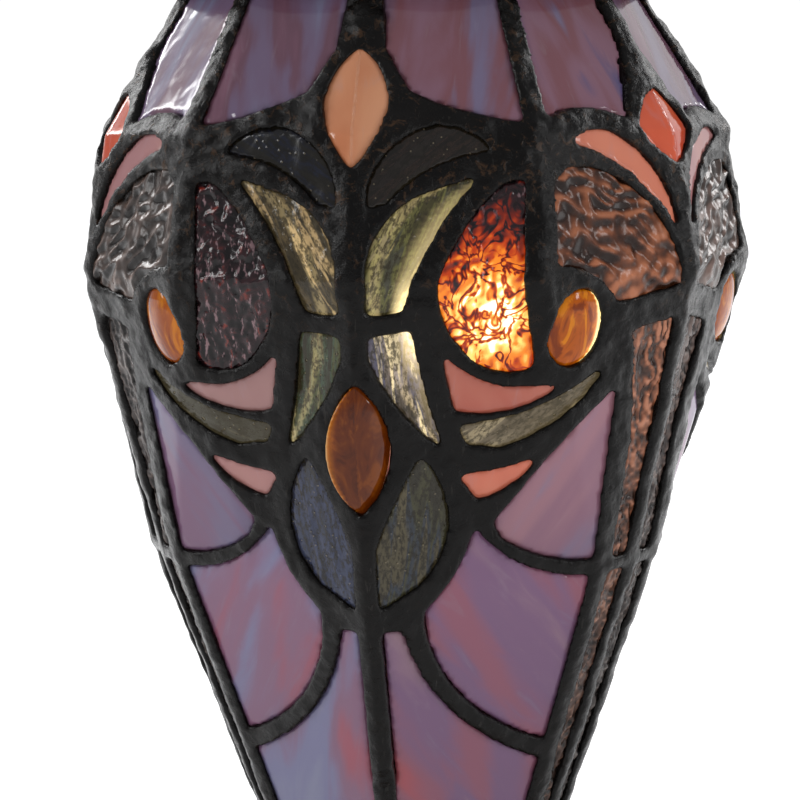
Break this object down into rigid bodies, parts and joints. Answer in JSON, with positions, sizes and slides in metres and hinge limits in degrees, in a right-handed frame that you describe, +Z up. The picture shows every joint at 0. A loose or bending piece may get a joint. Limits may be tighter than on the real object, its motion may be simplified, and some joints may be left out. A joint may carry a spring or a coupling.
{
  "type": "stained glass table lamp",
  "caption": "Stained glass table lamp: urn-shaped leaded glass body lit from inside, on a round cast foot, with a vented cap and a turned finial.",
  "frame": {"origin": "centre of the felt ring's underside, on the surface the lamp stands on", "axes": "+Z up along the stem; -Y is the front, the middle of a main glass face; +X is the side with the switch knob"},
  "size_m": [0.191, 0.191, 0.4151],
  "materials": {
    "mauve_glass": "streaky opalescent, smooth",
    "rose_glass": "streaky opalescent, smooth",
    "peach_glass": "smooth, opalescent",
    "pink_glass": "smooth, opalescent",
    "red_glass": "smooth, opalescent",
    "navy_glass": "seedy, dark",
    "leaf_glass": "iridescent, seedy",
    "blue_glass": "iridescent, seedy",
    "hammered_glass": "hammered",
    "bark_glass": "rough, barked",
    "amber_jewel": "polished dome",
    "leadwork": "dark patinated solder, lumpy",
    "cast_bronze": "dark bronze patina, rubbed edges",
    "aged_brass": "aged",
    "felt": "felt",
    "zinc_steel": "zinc plated",
    "threaded_steel": "threaded, plated",
    "black_bushing": "moulded",
    "lead_insulation": "insulation",
    "phenolic": "moulded phenolic",
    "knob_black": "moulded, grooved",
    "bulb_envelope": "clear, lit",
    "clear_glass": "clear",
    "solder_tip": "tinned",
    "filament_wire": "glowing wire"
  },
  "bodies": {
    "lamp": {"shoulder_glass": "mauve_glass", "corner_shoulder_glass": "mauve_glass", "upper_side_glass": "mauve_glass", "middle_side_glass": "rose_glass", "bottom_glass": "rose_glass", "crown_diamond": "peach_glass", "pink_crescent": "pink_glass", "upper_wedge": "pink_glass", "lower_wedge": "pink_glass", "red_diamond": "red_glass", "brow_glass": "navy_glass", "upper_leaf": "leaf_glass", "lower_leaf": "leaf_glass", "cheek_glass": "leaf_glass", "bowl_glass": "blue_glass", "eye_glass": "hammered_glass", "fan_glass": "hammered_glass", "upper_strip_glass": "bark_glass", "lower_strip_glass": "bark_glass", "centre_jewel": "amber_jewel", "corner_jewel": "amber_jewel", "shoulder_leadwork": "leadwork", "belt_leadwork": "leadwork", "waist_leadwork": "leadwork", "lower_leadwork": "leadwork", "foot": "cast_bronze", "plinth": "cast_bronze", "cup": "cast_bronze", "top_rim": "leadwork", "felt_ring": "felt", "base_plate": "zinc_steel", "base_screws": "zinc_steel", "lamp_pipe": "threaded_steel", "stem_washer": "zinc_steel", "foot_nut": "zinc_steel", "cup_nut": "zinc_steel", "inlet_bushing": "black_bushing", "inlet_nut": "aged_brass", "inlet_lead": "lead_insulation", "switched_lead": "lead_insulation", "switch_body": "phenolic", "switch_nut": "aged_brass", "socket_bracket": "zinc_steel", "bracket_screw": "zinc_steel", "socket_body": "phenolic", "socket_sleeve": "aged_brass", "socket_contact": "aged_brass"},
    "cap_body": {"cap": "cast_bronze", "cap_washer": "aged_brass"},
    "finial_body": {"finial": "cast_bronze"},
    "bulb": {"bulb_glass": "bulb_envelope", "bulb_base": "aged_brass", "bulb_contact": "solder_tip", "filament_stem": "clear_glass", "filament": "filament_wire"},
    "knob": {"switch_knob": "knob_black", "switch_spindle": "aged_brass"}
  },
  "joints": [
    {"name": "cap_lift", "type": "slide", "parent": "lamp", "child": "cap_body", "axis": [0, 0, 1], "range_m": [0, 0.06]},
    {"name": "finial_turn", "type": "hinge", "parent": "cap_body", "child": "finial_body", "pos_m": [0, 0, 0.38], "axis": [0, 0, 1], "continuous": true},
    {"name": "bulb_turn", "type": "hinge", "parent": "lamp", "child": "bulb", "pos_m": [0.022, 0, 0.21], "axis": [0, 0, 1], "continuous": true},
    {"name": "switch_turn", "type": "hinge", "parent": "lamp", "child": "knob", "pos_m": [0.085, 0, 0.014], "axis": [1, 0, 0], "continuous": true}
  ]
}
